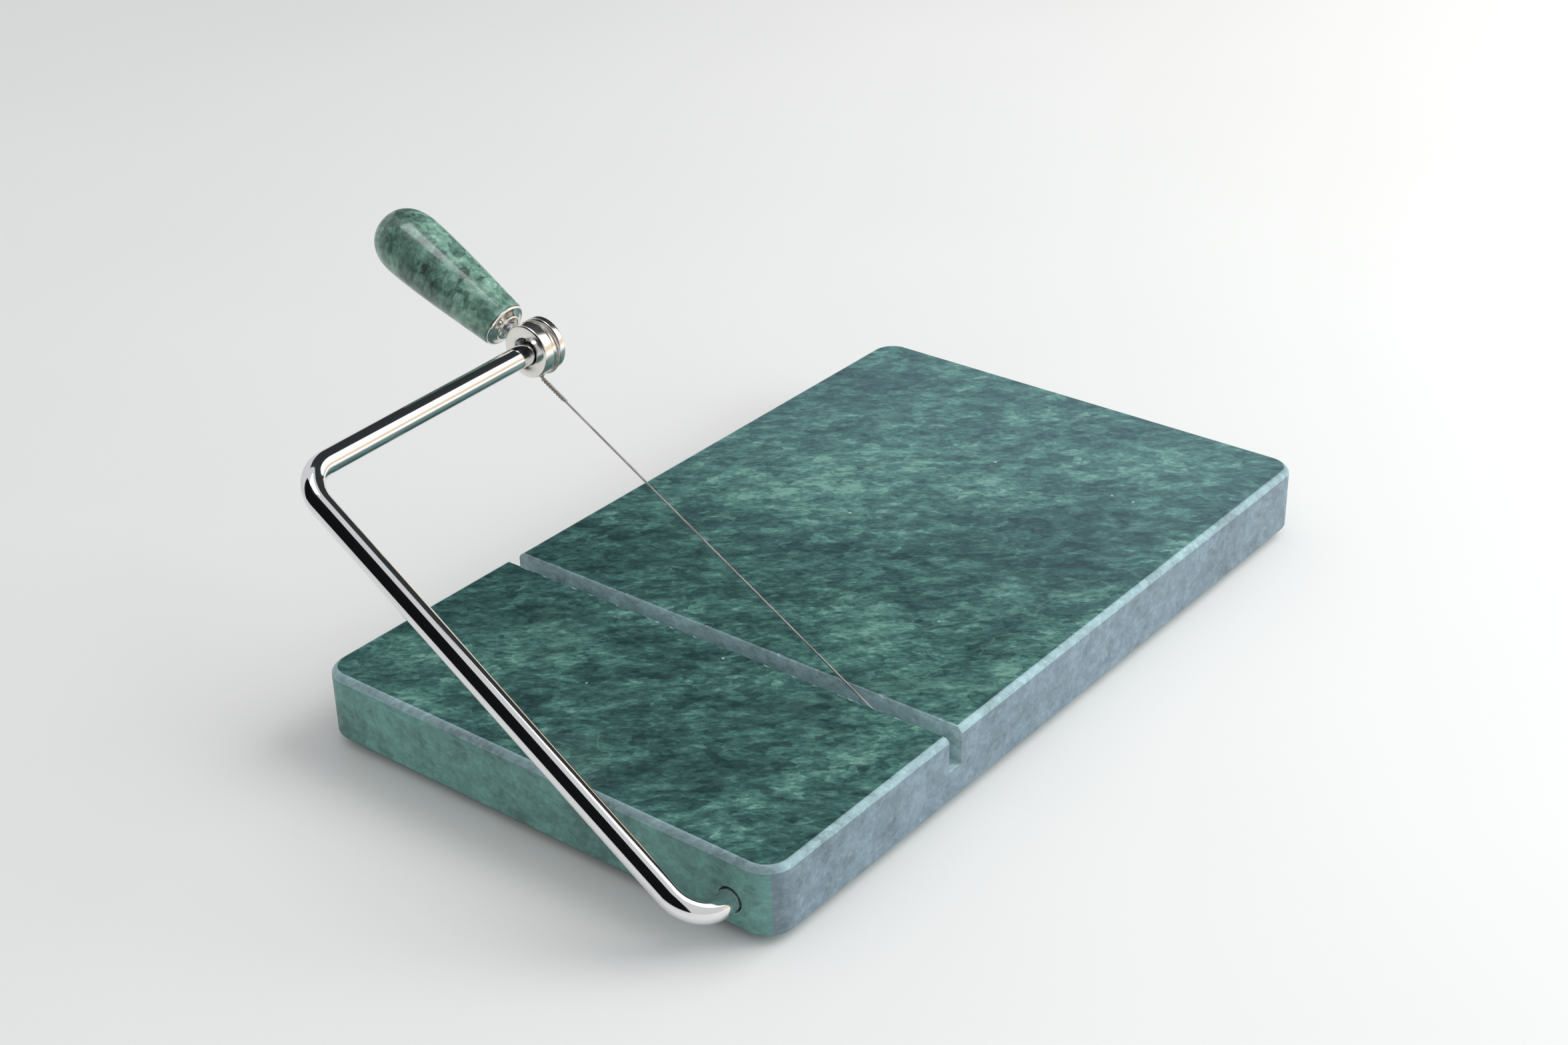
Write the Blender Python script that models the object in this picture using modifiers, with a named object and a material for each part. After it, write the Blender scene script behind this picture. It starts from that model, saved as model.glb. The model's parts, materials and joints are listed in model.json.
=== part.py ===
"""Cheese wire cutter: a marble board with a slot, and a hinged rod bow that holds a taut cutting wire.

Metres, +Z up. Origin: centre of the board's flat underside.
+X runs along the board away from the short face that the bow's rod enters.
+Y runs along the slot, away from the hinge.
"""

import math

import bmesh
import bpy
from mathutils import Vector

MM = 0.001

# Marble board
BOARD_L = 210 * MM
BOARD_W = 126 * MM
BOARD_T = 17 * MM
CORNER_R = 6.5 * MM
EDGE_BEVEL = 1.4 * MM
CORNER_STEPS = 10

# Slot for the wire, sawn through both long faces
SLOT_W = 4.5 * MM
SLOT_DEPTH = 8.8 * MM
SLOT_X = 60.8 * MM - BOARD_L / 2

# Rubber feet, glued into shallow recesses and standing proud of the underside
FOOT_R = 5.5 * MM
FOOT_H = 1.5 * MM
FOOT_INSET = 15 * MM
FOOT_RECESS = 0.8 * MM
FOOT_RECESS_R = FOOT_R + 0.3 * MM
GLUE_GAP = 0.05 * MM

# Hinge: the bow's lower rod turns in a bore drilled from the short face
HINGE_Y = 11 * MM - BOARD_W / 2
HINGE_Z = BOARD_T - 10.4 * MM
BORE_R = 2.9 * MM
BORE_END_X = SLOT_X + 8.6 * MM

# Bow rod, bent from one bar
ROD_R = 2.6 * MM
BOW_REACH = 120.3 * MM
BOW_OUTSET = 10 * MM
BEND_R = 8 * MM
TOP_SPLAY = math.radians(1.8)
REST_ANGLE = math.radians(33)
ROD_GROOVE_R = 2.0 * MM
ROD_GROOVE_W = 1.7 * MM
ROD_TIP_GAP = 0.5 * MM
WIRE_HOLE_R = 0.4 * MM

# Tension drum on the end of the top arm
DRUM_R = 6.2 * MM
DRUM_LEN = 6.5 * MM
DRUM_HOLE_R = 3.2 * MM
DRUM_OFFSET = 0.45 * MM
GROOVE_R = 5.3 * MM
DRUM_FACE_X = SLOT_X - 2.3 * MM

# Threaded stud, ferrule and handle, on one axis that leans towards the table
HANDLE_TILT = math.radians(-8.5)
STUD_R = 1.75 * MM
STUD_ROOT_R = 1.4 * MM
STUD_PITCH = 0.7 * MM
STUD_HOLE_R = 1.9 * MM
STUD_FROM_FACE = 2.1 * MM
STUD_START = 2.35 * MM
STUD_THREAD_END = 9.5 * MM
STUD_END = 21.3 * MM
FERRULE_START = 7.3 * MM
FERRULE_END = 8.9 * MM
HANDLE_START = 9.0 * MM
HANDLE_END = 47.5 * MM
HANDLE_FULL_AT = 38 * MM
HANDLE_FULL_R = 7.75 * MM
HANDLE_SLIM_AT = 9.6 * MM
HANDLE_SLIM_R = 5.6 * MM
HANDLE_EDGE_R = 5.3 * MM
HANDLE_BLUNTNESS = 2.4
INSERT_START = 9.5 * MM
INSERT_END = 21.9 * MM
INSERT_R = 3.0 * MM
HANDLE_BORE_R = 3.2 * MM
HANDLE_BORE_END = 22.5 * MM

# Cutting wire: from the rod's groove to the underside of the drum's groove
WIRE_R = 0.25 * MM
WRAP_X = SLOT_X - 0.5 * MM
WRAP_R = ROD_GROOVE_R + WIRE_R + 0.1 * MM
EYE_R = GROOVE_R + WIRE_R + 0.16 * MM
EYE_SLACK = 0.75 * MM
WIRE_FROM_FACE = 3.4 * MM
EYE_PAST_STUD = 4.2 * MM
EYE_END_FROM_FACE = 3.96 * MM
TWIST_START = 5.6 * MM
TWIST_LEN = 8.0 * MM
TWIST_TURNS = 7
TWIST_R = 2 * WIRE_R + 0.06 * MM


def clear_scene():
    for obj in list(bpy.data.objects):
        bpy.data.objects.remove(obj, do_unlink=True)


def new_collection(name, hidden=False):
    group = bpy.data.collections.new(name)
    bpy.context.scene.collection.children.link(group)
    group.hide_render = hidden
    return group


def material(name, colour, roughness, metallic=0.0):
    mat = bpy.data.materials.new(name)
    mat.use_nodes = True
    shader = mat.node_tree.nodes["Principled BSDF"]
    shader.inputs["Base Color"].default_value = (*colour, 1.0)
    shader.inputs["Roughness"].default_value = roughness
    shader.inputs["Metallic"].default_value = metallic
    mat.diffuse_color = (*colour, 1.0)
    return mat


def object_from_bmesh(name, bm, mat, group, parent=None):
    bmesh.ops.recalc_face_normals(bm, faces=bm.faces)
    mesh = bpy.data.meshes.new(name)
    bm.to_mesh(mesh)
    bm.free()
    obj = bpy.data.objects.new(name, mesh)
    group.objects.link(obj)
    obj.parent = parent
    if mat:
        mesh.materials.append(mat)
        mesh.shade_smooth()
        mesh.set_sharp_from_angle(angle=math.radians(32))
    return obj


def pivot(name, group, location, rotation, parent=None):
    empty = bpy.data.objects.new(name, None)
    empty.empty_display_size = 10 * MM
    empty.location = location
    empty.rotation_euler = rotation
    empty.parent = parent
    group.objects.link(empty)
    return empty


def rounded_slab(name, size, radius, steps, mat, group):
    """A box standing on z = 0, with its four upright edges rounded."""
    bm = bmesh.new()
    bmesh.ops.create_cube(bm, size=1.0)
    bmesh.ops.scale(bm, vec=size, verts=bm.verts)
    bmesh.ops.translate(bm, verts=bm.verts, vec=(0, 0, size[2] / 2))
    upright = []
    for edge in bm.edges:
        first, second = edge.verts
        if abs(first.co.z - second.co.z) > size[2] / 2:
            upright.append(edge)
    bmesh.ops.bevel(
        bm,
        geom=upright,
        offset=radius,
        offset_type="OFFSET",
        segments=steps,
        profile=0.5,
        affect="EDGES",
    )
    return object_from_bmesh(name, bm, mat, group)


def turned(name, profile, mat, group, parent=None, steps=48):
    """A shape turned about its own Z, from (radius, height) points running down its outer side."""
    mesh = bpy.data.meshes.new(name)
    edges = [(i, i + 1) for i in range(len(profile) - 1)]
    mesh.from_pydata([(r, 0, z) for r, z in profile], edges, [])
    obj = bpy.data.objects.new(name, mesh)
    group.objects.link(obj)
    obj.parent = parent
    screw = obj.modifiers.new("turn", "SCREW")
    screw.steps = steps
    screw.render_steps = steps
    screw.use_merge_vertices = True
    screw.merge_threshold = 0.000001
    screw.use_smooth_shade = True
    if mat:
        mesh.materials.append(mat)
    return obj


def as_mesh(obj, mat):
    """The same shape as a plain mesh with its caps joined on, so that it can be cut."""
    graph = bpy.context.evaluated_depsgraph_get()
    mesh = bpy.data.meshes.new_from_object(obj.evaluated_get(graph))
    bm = bmesh.new()
    bm.from_mesh(mesh)
    bmesh.ops.remove_doubles(bm, verts=bm.verts, dist=0.000002)
    bmesh.ops.recalc_face_normals(bm, faces=bm.faces)
    bm.to_mesh(mesh)
    bm.free()
    name = obj.name
    parent = obj.parent
    location = obj.location.copy()
    rotation = obj.rotation_euler.copy()
    group = obj.users_collection[0]
    bpy.data.objects.remove(obj, do_unlink=True)
    made = bpy.data.objects.new(name, mesh)
    made.parent = parent
    made.location = location
    made.rotation_euler = rotation
    group.objects.link(made)
    mesh.materials.clear()
    mesh.materials.append(mat)
    mesh.shade_smooth()
    mesh.set_sharp_from_angle(angle=math.radians(32))
    return made


def tube(name, path, radius, mat, group, parent, resolution, scales=None):
    """A bar or wire along a path of points, with flat ends."""
    data = bpy.data.curves.new(name, "CURVE")
    data.dimensions = "3D"
    data.bevel_depth = radius
    data.bevel_resolution = resolution
    data.use_fill_caps = True
    spline = data.splines.new("POLY")
    spline.points.add(len(path) - 1)
    for i, point in enumerate(path):
        spline.points[i].co = (*point, 1.0)
        spline.points[i].radius = scales[i] if scales else 1.0
    obj = bpy.data.objects.new(name, data)
    group.objects.link(obj)
    obj.parent = parent
    data.materials.append(mat)
    return obj


def cylinder_cutter(name, radius, length, group, parent, location, rotation, segments=48):
    bm = bmesh.new()
    bmesh.ops.create_cone(
        bm, cap_ends=True, segments=segments, radius1=radius, radius2=radius, depth=length
    )
    obj = object_from_bmesh(name, bm, None, group, parent)
    obj.location = location
    obj.rotation_euler = rotation
    obj.hide_render = True
    obj.display_type = "WIRE"
    return obj


def box_cutter(name, size, location, group):
    bm = bmesh.new()
    bmesh.ops.create_cube(bm, size=1.0)
    bmesh.ops.scale(bm, vec=size, verts=bm.verts)
    obj = object_from_bmesh(name, bm, None, group)
    obj.location = location
    obj.hide_render = True
    obj.display_type = "WIRE"
    return obj


def cut(obj, cutter):
    boolean = obj.modifiers.new("cut " + cutter.name, "BOOLEAN")
    boolean.operation = "DIFFERENCE"
    boolean.solver = "EXACT"
    boolean.object = cutter


def arc(centre, radius, start, end, steps):
    """Points of an arc in a plane, as (first, second) coordinates, angles in radians."""
    points = []
    for i in range(steps + 1):
        angle = start + (end - start) * i / steps
        points.append(
            (centre[0] + radius * math.cos(angle), centre[1] + radius * math.sin(angle))
        )
    return points


def build_board(parts, cutters, mat):
    size = (BOARD_L, BOARD_W, BOARD_T)
    board = rounded_slab("marble_board", size, CORNER_R, CORNER_STEPS, mat, parts)
    bevel = board.modifiers.new("edges", "BEVEL")
    bevel.width = EDGE_BEVEL
    bevel.segments = 3
    bevel.limit_method = "ANGLE"
    bevel.angle_limit = math.radians(40)
    slot_top = 4 * MM
    slot_size = (SLOT_W, BOARD_W + 8 * MM, SLOT_DEPTH + slot_top)
    slot_z = BOARD_T + (slot_top - SLOT_DEPTH) / 2
    slot = box_cutter("slot_cutter", slot_size, (SLOT_X, 0, slot_z), cutters)
    start_x = -BOARD_L / 2 - 4 * MM
    length = BORE_END_X - start_x
    middle = ((start_x + BORE_END_X) / 2, HINGE_Y, HINGE_Z)
    bore = cylinder_cutter(
        "bore_cutter", BORE_R, length, cutters, None, middle, (0, math.radians(90), 0)
    )
    cut(board, slot)
    cut(board, bore)
    below = 2 * MM
    depth = below + FOOT_RECESS
    for i, (x, y) in enumerate(foot_places()):
        place = (x, y, FOOT_RECESS - depth / 2)
        name = f"recess_cutter_{i + 1}"
        recess = cylinder_cutter(name, FOOT_RECESS_R, depth, cutters, None, place, (0, 0, 0), 32)
        cut(board, recess)


def foot_places():
    x = BOARD_L / 2 - FOOT_INSET
    y = BOARD_W / 2 - FOOT_INSET
    return (-x, -y), (x, -y), (x, y), (-x, y)


def build_feet(parts, mat):
    """A small rubber button under each corner of the board."""
    top = FOOT_H + FOOT_RECESS - GLUE_GAP
    profile = [
        (0, top),
        (FOOT_R, top),
        (FOOT_R, 0.5 * MM),
        (FOOT_R - 0.15 * MM, 0.15 * MM),
        (FOOT_R - 0.5 * MM, 0),
        (0, 0),
    ]
    for i, (x, y) in enumerate(foot_places()):
        foot = turned(f"rubber_foot_{i + 1}", profile, mat, parts, steps=32)
        foot.location = (x, y, -FOOT_H)


def rod_path():
    """Centre line of the bow in its own plane, as (along X, out from the hinge) points."""
    corner_x = -BOARD_L / 2 - BOW_OUTSET
    lower = arc((corner_x + BEND_R, BEND_R), BEND_R, math.radians(270), math.radians(180), 10)
    turn = math.radians(90) - TOP_SPLAY
    trim = BEND_R * math.tan(turn / 2)
    centre = (corner_x + BEND_R, BOW_REACH - trim)
    upper = arc(centre, BEND_R, math.radians(180), math.radians(180) - turn, 10)
    end_x = DRUM_FACE_X + DRUM_LEN + 0.5 * MM
    end = (end_x, BOW_REACH + (end_x - corner_x) * math.tan(TOP_SPLAY))
    return lower, upper, end


def build_rod(parts, cutters, mat, bow):
    """The bow is one bar: a hinge leg inside the board, a cross arm outside it and a top arm."""
    lower, upper, end = rod_path()
    chamfer = 0.5 * MM
    half = ROD_GROOVE_W / 2
    small = ROD_GROOVE_R / ROD_R
    slope = 0.35 * MM
    tip = BORE_END_X - ROD_TIP_GAP
    straight = [
        (tip, 0.8),
        (tip - chamfer, 1.0),
        (WRAP_X + half + slope, 1.0),
        (WRAP_X + half, small),
        (WRAP_X - half, small),
        (WRAP_X - half - slope, 1.0),
    ]
    direction = Vector((math.cos(TOP_SPLAY), math.sin(TOP_SPLAY)))
    before_end = Vector(end) - direction * chamfer
    path = [(x, 0, 0) for x, _ in straight]
    scales = [scale for _, scale in straight]
    for x, y in lower + upper + [tuple(before_end)]:
        path.append((x, y, 0))
        scales.append(1.0)
    path.append((*end, 0))
    scales.append(0.8)
    rod = as_mesh(tube("bow_rod", path, ROD_R, mat, parts, bow, 14, scales), mat)
    hole = cylinder_cutter(
        "wire_hole_cutter", WIRE_HOLE_R, 8 * MM, cutters, bow, (WRAP_X, 0, 0), (0, 0, 0), 16
    )
    cut(rod, hole)


def drum_centre():
    """Where the drum's axis crosses the wire's plane, in the bow's own frame."""
    run = DRUM_FACE_X + BOARD_L / 2 + BOW_OUTSET
    return BOW_REACH + run * math.tan(TOP_SPLAY) + DRUM_OFFSET


def build_drum(parts, cutters, mat, drum_axis):
    """A short barrel, loose on the rod: its groove carries the wire and the stud screws into it."""
    edge = 0.35 * MM
    profile = [
        (DRUM_HOLE_R, DRUM_LEN),
        (DRUM_R - edge, DRUM_LEN),
        (DRUM_R, DRUM_LEN - edge),
        (DRUM_R, 4.9 * MM),
        (DRUM_R - 0.15 * MM, 4.7 * MM),
        (GROOVE_R, 4.4 * MM),
        (GROOVE_R, 3.2 * MM),
        (DRUM_R - 0.15 * MM, 2.9 * MM),
        (DRUM_R, 2.7 * MM),
        (DRUM_R, edge),
        (DRUM_R - edge, 0),
        (DRUM_HOLE_R, 0),
        (DRUM_HOLE_R, DRUM_LEN),
    ]
    drum = turned("tension_drum", profile, mat, parts, drum_axis, 64)
    length = 8 * MM
    reach = DRUM_HOLE_R - 0.8 * MM + length / 2
    out = drum_axis.location.y + reach * math.cos(HANDLE_TILT)
    up = reach * math.sin(HANDLE_TILT)
    place = (drum_axis.location.x + STUD_FROM_FACE, out, up)
    turn = (HANDLE_TILT - math.radians(90), 0, 0)
    hole = cylinder_cutter(
        "stud_hole_cutter", STUD_HOLE_R, length, cutters, drum_axis.parent, place, turn, 32
    )
    cut(drum, hole)
    return drum


def stud_profile():
    """A blunt tip, a threaded length and a plain root, as (radius, distance) points from the far end."""
    points = [(0, STUD_END), (STUD_ROOT_R, STUD_END)]
    count = int((STUD_THREAD_END - STUD_START - 0.6 * MM) / STUD_PITCH)
    z = STUD_START + 0.6 * MM + count * STUD_PITCH
    points.append((STUD_ROOT_R, z))
    for _ in range(count):
        points.append((STUD_R, z - 0.45 * STUD_PITCH))
        points.append((STUD_R, z - 0.55 * STUD_PITCH))
        points.append((STUD_ROOT_R, z - STUD_PITCH))
        z -= STUD_PITCH
    points.append((STUD_ROOT_R, STUD_START + 0.3 * MM))
    points.append((STUD_ROOT_R - 0.3 * MM, STUD_START))
    points.append((0, STUD_START))
    return points


def build_stud(parts, mat, handle_axis):
    return turned("tension_stud", stud_profile(), mat, parts, handle_axis, 32)


def build_ferrule(parts, mat, handle_axis):
    """A stepped cone that caps the handle's near end, open for the stud."""
    inner = STUD_R + 0.15 * MM
    profile = [
        (inner, FERRULE_END),
        (5.25 * MM, FERRULE_END),
        (5.4 * MM, FERRULE_END - 0.25 * MM),
        (4.9 * MM, FERRULE_END - 0.6 * MM),
        (4.4 * MM, FERRULE_END - 0.68 * MM),
        (3.5 * MM, FERRULE_END - 1.1 * MM),
        (3.2 * MM, FERRULE_END - 1.2 * MM),
        (3.0 * MM, FERRULE_START + 0.15 * MM),
        (2.7 * MM, FERRULE_START),
        (inner, FERRULE_START),
        (inner, FERRULE_END),
    ]
    return turned("handle_ferrule", profile, mat, parts, handle_axis, 48)


def handle_outline(end_steps=9, taper_steps=8):
    """The grip's outer side from its tip: a blunt rounded end, then a taper that starts out level."""
    points = []
    power = 2 / HANDLE_BLUNTNESS
    length = HANDLE_END - HANDLE_FULL_AT
    for i in range(end_steps):
        turn = math.radians(90) * (1 - i / end_steps)
        r = HANDLE_FULL_R * abs(math.cos(turn)) ** power if i else 0
        points.append((r, HANDLE_FULL_AT + length * math.sin(turn) ** power))
    for i in range(taper_steps + 1):
        share = 1 - i / taper_steps
        swell = 1.25 * share - 0.25 * share**4
        r = HANDLE_SLIM_R + (HANDLE_FULL_R - HANDLE_SLIM_R) * swell
        points.append((r, HANDLE_SLIM_AT + (HANDLE_FULL_AT - HANDLE_SLIM_AT) * share))
    return points


def build_handle(parts, mat, handle_axis):
    """A polished marble grip, slim at the stud and full at its rounded end, bored for the insert."""
    profile = handle_outline()
    profile += [
        (HANDLE_EDGE_R, HANDLE_START),
        (HANDLE_BORE_R, HANDLE_START),
        (HANDLE_BORE_R, HANDLE_BORE_END),
        (0, HANDLE_BORE_END),
    ]
    return turned("marble_handle", profile, mat, parts, handle_axis, 56)


def build_insert(parts, mat, handle_axis):
    """The threaded sleeve glued into the handle: it ties the stud to the marble."""
    inner = STUD_R + 0.15 * MM
    profile = [
        (inner, INSERT_END),
        (INSERT_R, INSERT_END),
        (INSERT_R, INSERT_START),
        (inner, INSERT_START),
        (inner, INSERT_END),
    ]
    return turned("handle_insert", profile, mat, parts, handle_axis, 32)


def wire_end_in_rod():
    """From the blind end in the rod's cross hole, half round the groove: (out, up) points."""
    bend = 0.35 * MM
    points = [(0, 0.8 * MM), (0, -WRAP_R + bend)]
    points += arc((-bend, -WRAP_R + bend), bend, 0, math.radians(-90), 4)[1:]
    half_turn = arc((0, 0), WRAP_R, math.radians(262), math.radians(91), 17)
    return points + half_turn


def eye_path(start_angle):
    """Once round the drum from its underside, then straight down across the wire.

    Points are (out from the drum's axis, up, distance behind the drum's front face).
    """
    stud_side = arc((0, 0), EYE_R, start_angle, math.radians(90), 20)
    points = []
    for out, up in stud_side:
        share = max(0.0, out / EYE_R) ** 0.5
        behind = WIRE_FROM_FACE
        if up > 0:
            behind = EYE_END_FROM_FACE
        points.append((out, up, behind + (EYE_PAST_STUD - behind) * share))
    near = -EYE_SLACK
    inner_side = arc((near, 0), EYE_R, math.radians(90), math.radians(190), 10)
    points += [(out, up, EYE_END_FROM_FACE) for out, up in inner_side]
    return points


def wire_path():
    centre_y = drum_centre()
    start = Vector((WRAP_X, 0.04 * MM, WRAP_R))
    leave_x = DRUM_FACE_X + WIRE_FROM_FACE
    fall = math.atan2(WRAP_R + EYE_R, centre_y)
    angle = math.radians(-90) - fall
    touch = Vector((leave_x, centre_y + EYE_R * math.cos(angle), EYE_R * math.sin(angle)))
    slope = (touch - start).normalized()
    lift = Vector((1, 0, 0)).cross(slope).normalized()
    side = slope.cross(lift)
    path = [Vector((WRAP_X, y, z)) for y, z in wire_end_in_rod()]
    path.append(start)
    twist_from = touch - slope * TWIST_START
    path.append(twist_from - slope * (TWIST_LEN + 1 * MM))
    path.append(touch - slope * 1 * MM)
    for out, up, behind in eye_path(angle):
        path.append(Vector((DRUM_FACE_X + behind, centre_y + out, up)))
    turns = TWIST_TURNS * 12
    for i in range(turns + 1):
        around = math.radians(-30 * i)
        along = TWIST_LEN * i / turns
        offset = (side * math.cos(around) + lift * math.sin(around)) * TWIST_R
        path.append(twist_from - slope * along + offset)
    return path


def build_wire(parts, mat, bow):
    """One taut wire: tucked into the rod, up to the drum, round it and twisted back on itself."""
    tube("cutting_wire", [tuple(p) for p in wire_path()], WIRE_R, mat, parts, bow, 2)


def build():
    clear_scene()
    parts = new_collection("cheese_wire_cutter")
    cutters = new_collection("cutters", hidden=True)
    marble = material("green_marble", (0.035, 0.12, 0.10), 0.12)
    grip = material("handle_marble", (0.04, 0.16, 0.11), 0.12)
    rubber = material("foot_rubber", (0.03, 0.03, 0.03), 0.8)
    chrome = material("rod_chrome", (0.8, 0.8, 0.82), 0.08, 1.0)
    drum_chrome = material("drum_chrome", (0.82, 0.8, 0.77), 0.1, 1.0)
    zinc = material("stud_zinc", (0.62, 0.66, 0.7), 0.3, 1.0)
    cap = material("ferrule_chrome", (0.85, 0.83, 0.78), 0.12, 1.0)
    brass = material("insert_brass", (0.7, 0.52, 0.25), 0.3, 1.0)
    steel = material("wire_steel", (0.45, 0.45, 0.46), 0.3, 1.0)

    build_board(parts, cutters, marble)
    build_feet(parts, rubber)

    bow = pivot("bow_pivot", parts, (0, HINGE_Y, HINGE_Z), (REST_ANGLE, 0, 0))
    build_rod(parts, cutters, chrome, bow)
    build_wire(parts, steel, bow)

    centre_y = drum_centre()
    drum_turn = (0, math.radians(90), 0)
    drum_axis = pivot("drum_axis", parts, (DRUM_FACE_X, centre_y, 0), drum_turn, bow)
    build_drum(parts, cutters, drum_chrome, drum_axis)

    stud_at = (DRUM_FACE_X + STUD_FROM_FACE, centre_y, 0)
    stud_turn = (HANDLE_TILT - math.radians(90), 0, 0)
    handle_axis = pivot("handle_axis", parts, stud_at, stud_turn, bow)
    build_stud(parts, zinc, handle_axis)
    build_ferrule(parts, cap, handle_axis)
    build_insert(parts, brass, handle_axis)
    build_handle(parts, grip, handle_axis)


build()
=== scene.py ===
"""Looks of the cheese wire cutter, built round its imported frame. Metres, +Z up.

The board's underside is at z = 0. +X runs along the board, away from the short face that the
bow's rod enters, and +Y runs along the slot, away from the hinge.
"""

import json
import math
import random

import bmesh
import bpy
from mathutils import Matrix, Vector, noise


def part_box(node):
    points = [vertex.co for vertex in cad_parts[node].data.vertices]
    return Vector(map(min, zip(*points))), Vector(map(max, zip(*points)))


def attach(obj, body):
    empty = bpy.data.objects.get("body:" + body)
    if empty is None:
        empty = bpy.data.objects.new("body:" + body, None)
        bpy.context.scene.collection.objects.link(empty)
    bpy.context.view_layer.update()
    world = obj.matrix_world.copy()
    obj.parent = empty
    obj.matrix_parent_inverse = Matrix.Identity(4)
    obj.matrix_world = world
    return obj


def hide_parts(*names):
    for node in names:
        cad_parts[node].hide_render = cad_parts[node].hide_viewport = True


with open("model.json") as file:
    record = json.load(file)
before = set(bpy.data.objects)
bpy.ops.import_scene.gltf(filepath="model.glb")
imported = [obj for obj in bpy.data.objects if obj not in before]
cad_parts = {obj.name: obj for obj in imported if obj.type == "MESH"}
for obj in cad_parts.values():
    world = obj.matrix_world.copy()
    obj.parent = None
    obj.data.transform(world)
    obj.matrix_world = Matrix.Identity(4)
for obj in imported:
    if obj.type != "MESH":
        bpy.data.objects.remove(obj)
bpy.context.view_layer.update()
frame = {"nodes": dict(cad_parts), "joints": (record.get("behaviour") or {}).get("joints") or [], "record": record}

MM = 0.001
RIGHT_ANGLE = math.radians(90)
WELD = 0.002 * MM

# Where the frame puts things
JOINTS = {joint["name"]: joint for joint in frame["joints"]}
OPENINGS = {hollow["name"]: hollow["box_m"] for hollow in frame["record"]["physics"]["openings"]}
BOARD_LOW, BOARD_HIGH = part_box("marble_board")
FOOT_LOW, FOOT_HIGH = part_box("rubber_foot_1")
DRUM_FACE_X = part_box("tension_drum")[0].x
HINGE = Vector(JOINTS["bow_hinge"]["pos_m"])
GRIP = Vector(JOINTS["handle_spin"]["pos_m"])
REST_ANGLE = math.radians(33)
BOW = Matrix.Translation(HINGE) @ Matrix.Rotation(REST_ANGLE, 4, "X")
GRIP_IN_BOW = BOW.inverted() @ GRIP
DRUM_OUT = GRIP_IN_BOW.y

# Board
BOARD_L = BOARD_HIGH.x - BOARD_LOW.x
BOARD_W = BOARD_HIGH.y - BOARD_LOW.y
BOARD_T = BOARD_HIGH.z
CORNER_R = 6.5 * MM
EDGE_BEVEL = 1.4 * MM
SLOT_X = (OPENINGS["slot"][0][0] + OPENINGS["slot"][1][0]) / 2
SLOT_W = 4.5 * MM
SLOT_DEPTH = 8.8 * MM
SLOT_EDGE = 0.35 * MM
BORE_R = 2.9 * MM
BORE_END_X = SLOT_X + 8.6 * MM
FOOT_R = (FOOT_HIGH.x - FOOT_LOW.x) / 2
FOOT_INSET = 15 * MM
FOOT_RECESS = 0.8 * MM
FOOT_RECESS_R = FOOT_R + 0.3 * MM
SLOT_CHIPS = 46
CHIP_SEED = 5
CHIP_SIZES = 0.25, 0.62  # smallest and largest, in millimetres

# Bow rod
ROD_R = 2.6 * MM
ROD_PAST_DRUM = 0.5 * MM
ROD_CHAMFER = 0.5 * MM
ROD_TIP = 0.8  # radius of the chamfered ends, as a share of the rod's
ROD_TIP_RISE = 0.2  # the rest of that radius
BOW_REACH = 120.3 * MM
BOW_OUTSET = 10 * MM
BEND_R = 8 * MM
BEND_STEPS = 28
TOP_SPLAY = math.radians(1.8)
ROD_GROOVE_R = 2.0 * MM
ROD_GROOVE_W = 1.7 * MM
WIRE_HOLE_R = 0.4 * MM

# Drum, stud and handle
DRUM_R = 6.2 * MM
DRUM_LEN = 6.5 * MM
DRUM_HOLE_R = 3.2 * MM
DRUM_RIM = 0.55 * MM
GROOVE_R = 5.3 * MM
GROOVE_MOUTH = 2.78 * MM, 4.82 * MM
GROOVE_FLOOR = 3.18 * MM, 4.42 * MM
GROOVE_FILLET = 0.2 * MM
MOUTH_FILLET = 0.22 * MM
HANDLE_TILT = math.radians(-8.5)
STUD_R = 1.75 * MM
STUD_ROOT_R = 1.4 * MM
STUD_PITCH = 0.7 * MM
STUD_HOLE_R = 1.9 * MM
STUD_START = 2.35 * MM
STUD_THREAD_END = 9.5 * MM
STUD_END = 21.3 * MM
FERRULE_START = 7.3 * MM
FERRULE_END = 8.9 * MM
FERRULE_SEAT_R = 5.25 * MM
FERRULE_RIM_R = 5.42 * MM
FERRULE_SHOULDER_R = 4.95 * MM
FERRULE_STEP_R = 4.4 * MM
FERRULE_NECK_R = 3.0 * MM
FERRULE_MOUTH_R = 2.35 * MM
HANDLE_START = 9.0 * MM
HANDLE_END = 47.5 * MM
HANDLE_FULL_AT = 38 * MM
HANDLE_FULL_R = 7.75 * MM
HANDLE_SLIM_AT = 9.6 * MM
HANDLE_SLIM_R = 5.6 * MM
HANDLE_BLUNTNESS = 2.4
HANDLE_EDGE = (5.54 * MM, 9.35 * MM), (5.42 * MM, 9.12 * MM)  # rounding at the seat
HANDLE_SEAT_R = 5.25 * MM
HANDLE_BORE_R = 3.2 * MM
HANDLE_BORE_END = 22.5 * MM

# Wire
WIRE_R = 0.25 * MM
WRAP_X = SLOT_X - 0.5 * MM
WRAP_R = ROD_GROOVE_R + WIRE_R + 0.1 * MM
EYE_R = GROOVE_R + WIRE_R + 0.16 * MM
EYE_SLACK = 0.75 * MM
WIRE_FROM_FACE = 3.4 * MM
EYE_PAST_STUD = 4.2 * MM
EYE_END_FROM_FACE = 3.96 * MM
EYE_END_ANGLE = math.radians(228)
TWIST_START = 4.5 * MM
TWIST_LEN = 8.0 * MM
TWIST_EASE = 0.8 * MM
TWIST_TURNS = 5
TWIST_STEPS = 24  # a turn
TWIST_R = WIRE_R + 0.05 * MM


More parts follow.
